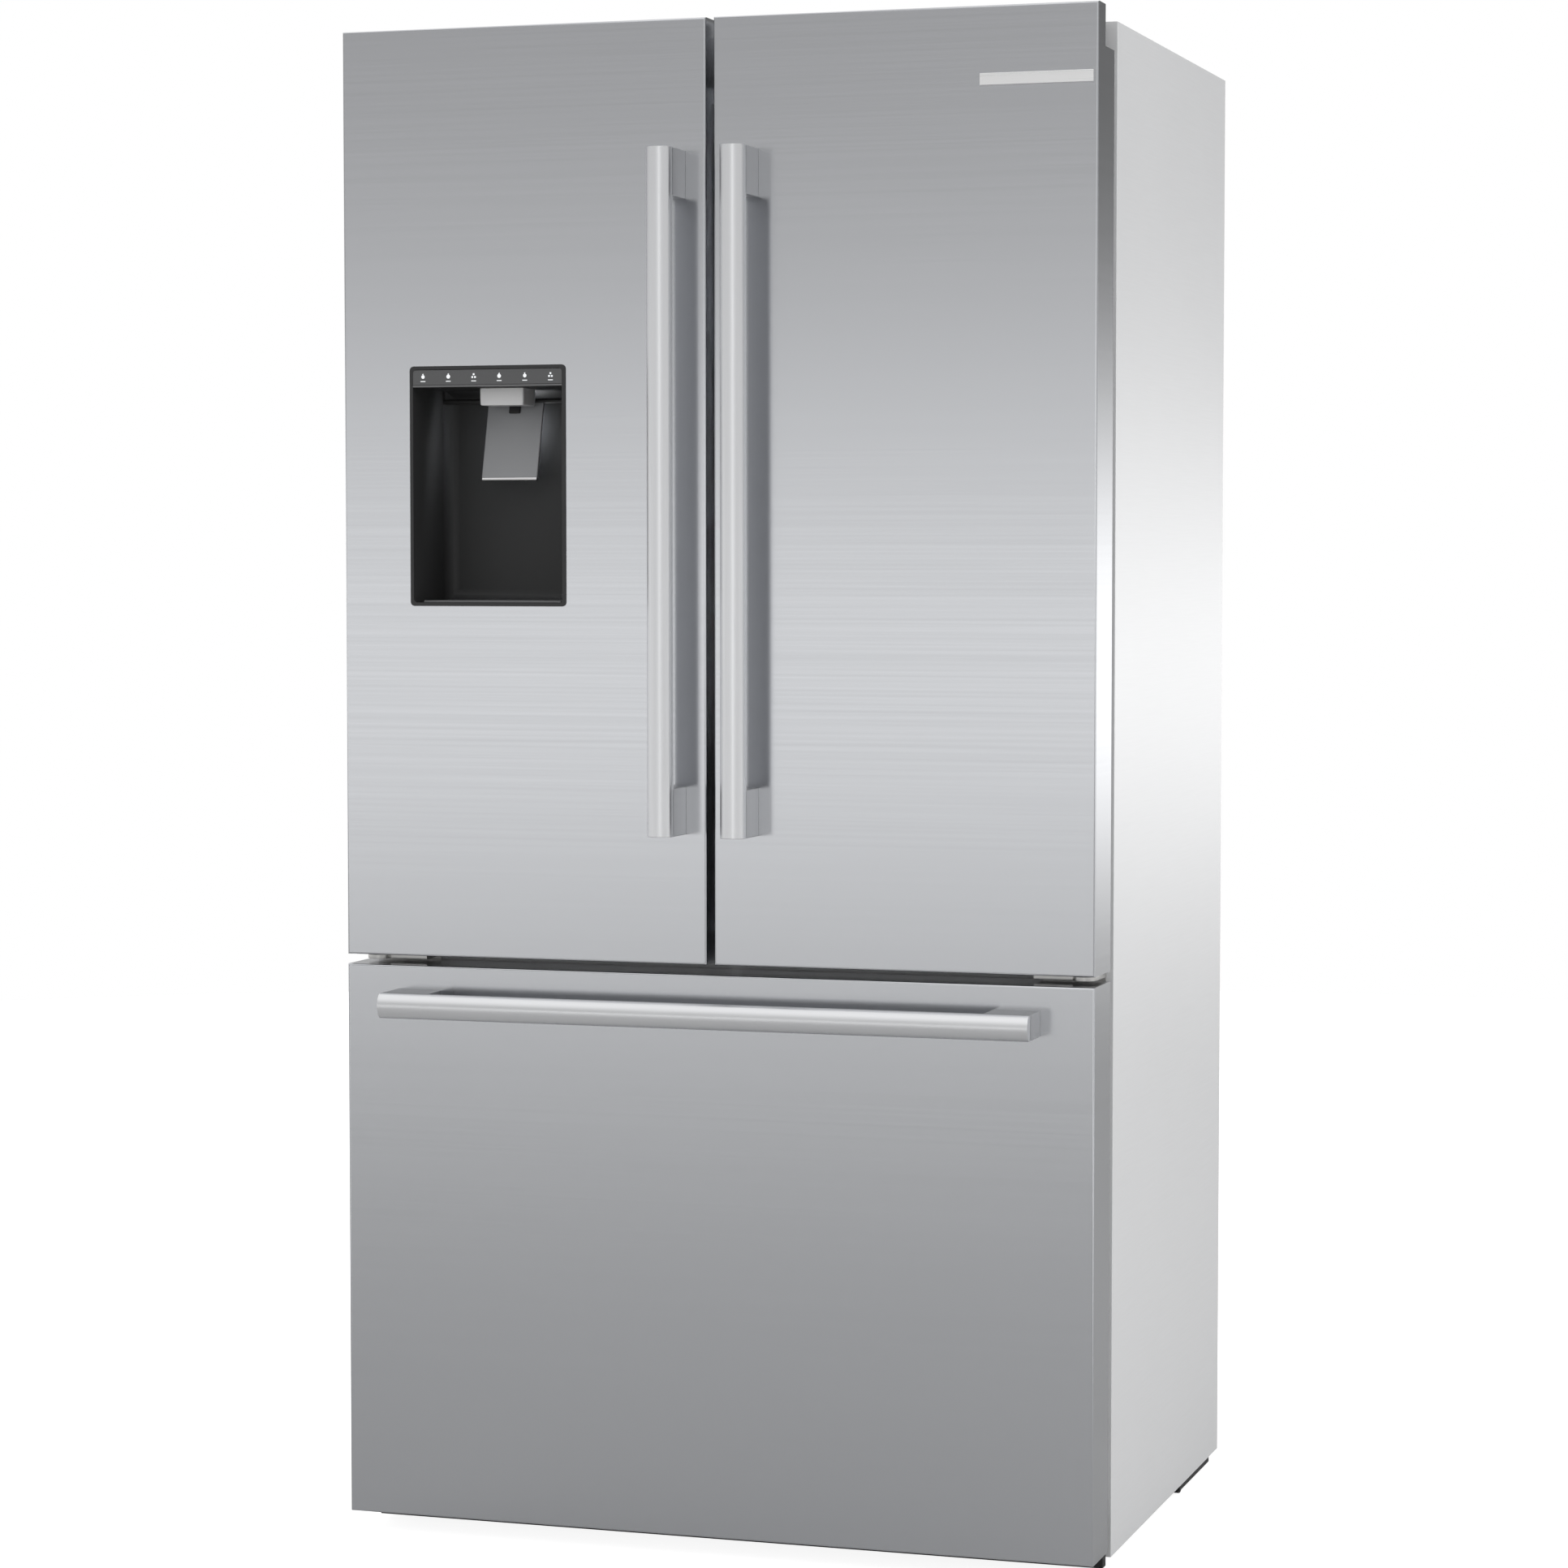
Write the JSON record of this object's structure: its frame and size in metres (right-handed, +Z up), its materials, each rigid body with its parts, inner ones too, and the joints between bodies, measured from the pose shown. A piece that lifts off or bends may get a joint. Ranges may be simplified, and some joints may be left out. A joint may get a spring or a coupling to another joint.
{
  "type": "french door refrigerator",
  "caption": "Stainless refrigerator with two swing doors over a freezer drawer, bar handles, and an ice and water dispenser in the left door.",
  "frame": {"origin": "on the floor, at the centre of the whole footprint from the handles' fronts to the rear cover", "axes": "+X to the right as seen from the front, +Y to the back, +Z up; the doors face -Y"},
  "size_m": [0.905, 0.77, 1.781],
  "materials": {
    "stainless": "brushed",
    "satin_handle": "satin",
    "grey_sheet": "satin",
    "zinc": "zinc plated",
    "black_sheet": "matte",
    "white_liner": "satin",
    "grey_plastic": "satin",
    "black_plastic": "satin",
    "clear_plastic": "clear",
    "glass": "polished",
    "seal_rubber": "matte",
    "aluminium": "plain"
  },
  "bodies": {
    "cabinet": {"cabinet_wrapper": "grey_sheet", "rear_panel": "grey_sheet", "fresh_food_liner": "white_liner", "freezer_liner": "white_liner", "base_frame": "black_sheet", "toe_grille": "black_plastic", "hinge_top_left": "zinc", "hinge_top_right": "zinc", "hinge_cover_left": "grey_plastic", "hinge_cover_right": "grey_plastic", "hinge_centre_left": "zinc", "hinge_centre_right": "zinc", "compressor": "black_sheet", "condenser": "aluminium", "machine_cover": "grey_sheet", "power_inlet": "black_plastic", "evaporator": "aluminium", "evaporator_cover": "white_liner", "shelf_upper": "glass", "shelf_lower": "glass", "crisper_cover": "glass", "ice_maker": "grey_plastic", "freezer_rail_left": "zinc", "freezer_rail_right": "zinc"},
    "left_door": {"left_door_panel": "stainless", "left_door_liner": "white_liner", "left_door_gasket": "seal_rubber", "left_door_handle": "satin_handle", "dispenser_housing": "black_plastic", "dispenser_panel": "black_plastic", "dispenser_chute": "grey_plastic", "left_bin_upper": "clear_plastic", "left_bin_lower": "clear_plastic"},
    "right_door": {"right_door_panel": "stainless", "right_door_liner": "white_liner", "right_door_gasket": "seal_rubber", "right_door_handle": "satin_handle", "badge_plate": "satin_handle", "right_bin_lower": "clear_plastic", "right_bin_middle": "clear_plastic", "right_bin_upper": "clear_plastic"},
    "drawer": {"freezer_front_panel": "stainless", "freezer_front_liner": "white_liner", "freezer_gasket": "seal_rubber", "freezer_handle": "satin_handle", "freezer_basket": "clear_plastic"},
    "tray": {"freezer_tray": "clear_plastic"},
    "flap": {"mullion_flap": "grey_plastic"},
    "lever": {"dispenser_lever": "grey_plastic"},
    "bucket": {"ice_bucket": "clear_plastic"},
    "condenser_fan": {"condenser_fan": "black_plastic"},
    "evaporator_fan": {"evaporator_fan": "black_plastic"},
    "crisper_left": {"crisper_left": "clear_plastic"},
    "slide_left": {"slide_member_left": "zinc"},
    "foot_left": {"front_foot_left": "black_plastic"},
    "roller_left": {"rear_roller_left": "black_plastic"},
    "crisper_right": {"crisper_right": "clear_plastic"},
    "slide_right": {"slide_member_right": "zinc"},
    "foot_right": {"front_foot_right": "black_plastic"},
    "roller_right": {"rear_roller_right": "black_plastic"}
  },
  "joints": [
    {"name": "left_door_hinge", "type": "hinge", "parent": "cabinet", "child": "left_door", "pos_m": [-0.4305, -0.28, 1.2], "axis": [0, 0, -1], "range_deg": [0, 120]},
    {"name": "right_door_hinge", "type": "hinge", "parent": "cabinet", "child": "right_door", "pos_m": [0.4305, -0.28, 1.2], "axis": [0, 0, 1], "range_deg": [0, 120]},
    {"name": "flap_hinge", "type": "hinge", "parent": "left_door", "child": "flap", "pos_m": [-0.03, -0.225, 1.2], "axis": [0, 0, 1], "range_deg": [0, 90]},
    {"name": "lever_pivot", "type": "hinge", "parent": "left_door", "child": "lever", "pos_m": [-0.2723, -0.232, 1.3433], "axis": [1, 0, 0], "range_deg": [0, 7], "stiffness_Nm_per_rad": 0.6},
    {"name": "drawer_slide", "type": "slide", "parent": "cabinet", "child": "drawer", "axis": [0, -1, 0], "range_m": [0, 0.43]},
    {"name": "slide_left", "type": "slide", "parent": "cabinet", "child": "slide_left", "axis": [0, -1, 0], "range_m": [0, 0.215]},
    {"name": "slide_right", "type": "slide", "parent": "cabinet", "child": "slide_right", "axis": [0, -1, 0], "range_m": [0, 0.215]},
    {"name": "tray_slide", "type": "slide", "parent": "drawer", "child": "tray", "axis": [0, 1, 0], "range_m": [0, 0.11]},
    {"name": "crisper_slide_left", "type": "slide", "parent": "cabinet", "child": "crisper_left", "axis": [0, -1, 0], "range_m": [0, 0.08]},
    {"name": "crisper_slide_right", "type": "slide", "parent": "cabinet", "child": "crisper_right", "axis": [0, -1, 0], "range_m": [0, 0.08]},
    {"name": "bucket_slide", "type": "slide", "parent": "cabinet", "child": "bucket", "axis": [0, -1, 0], "range_m": [0, 0.09]},
    {"name": "condenser_fan_shaft", "type": "hinge", "parent": "cabinet", "child": "condenser_fan", "pos_m": [-0.06, 0.2345, 0.1283], "axis": [1, 0, 0], "continuous": true},
    {"name": "evaporator_fan_shaft", "type": "hinge", "parent": "cabinet", "child": "evaporator_fan", "pos_m": [0, 0.272, 0.585], "axis": [0, 1, 0], "continuous": true},
    {"name": "foot_screw_left", "type": "hinge", "parent": "cabinet", "child": "foot_left", "pos_m": [-0.405, -0.204, 0.02], "axis": [0, 0, 1], "continuous": true},
    {"name": "roller_axle_left", "type": "hinge", "parent": "cabinet", "child": "roller_left", "pos_m": [-0.439, 0.175, 0.017], "axis": [1, 0, 0], "continuous": true},
    {"name": "foot_screw_right", "type": "hinge", "parent": "cabinet", "child": "foot_right", "pos_m": [0.405, -0.204, 0.02], "axis": [0, 0, 1], "continuous": true},
    {"name": "roller_axle_right", "type": "hinge", "parent": "cabinet", "child": "roller_right", "pos_m": [0.439, 0.175, 0.017], "axis": [1, 0, 0], "continuous": true}
  ],
  "couplings": [
    {"joint": "flap_hinge", "follows": "left_door_hinge", "ratio": 0.75},
    {"joint": "slide_left", "follows": "drawer_slide", "ratio": 0.5},
    {"joint": "slide_right", "follows": "drawer_slide", "ratio": 0.5}
  ]
}
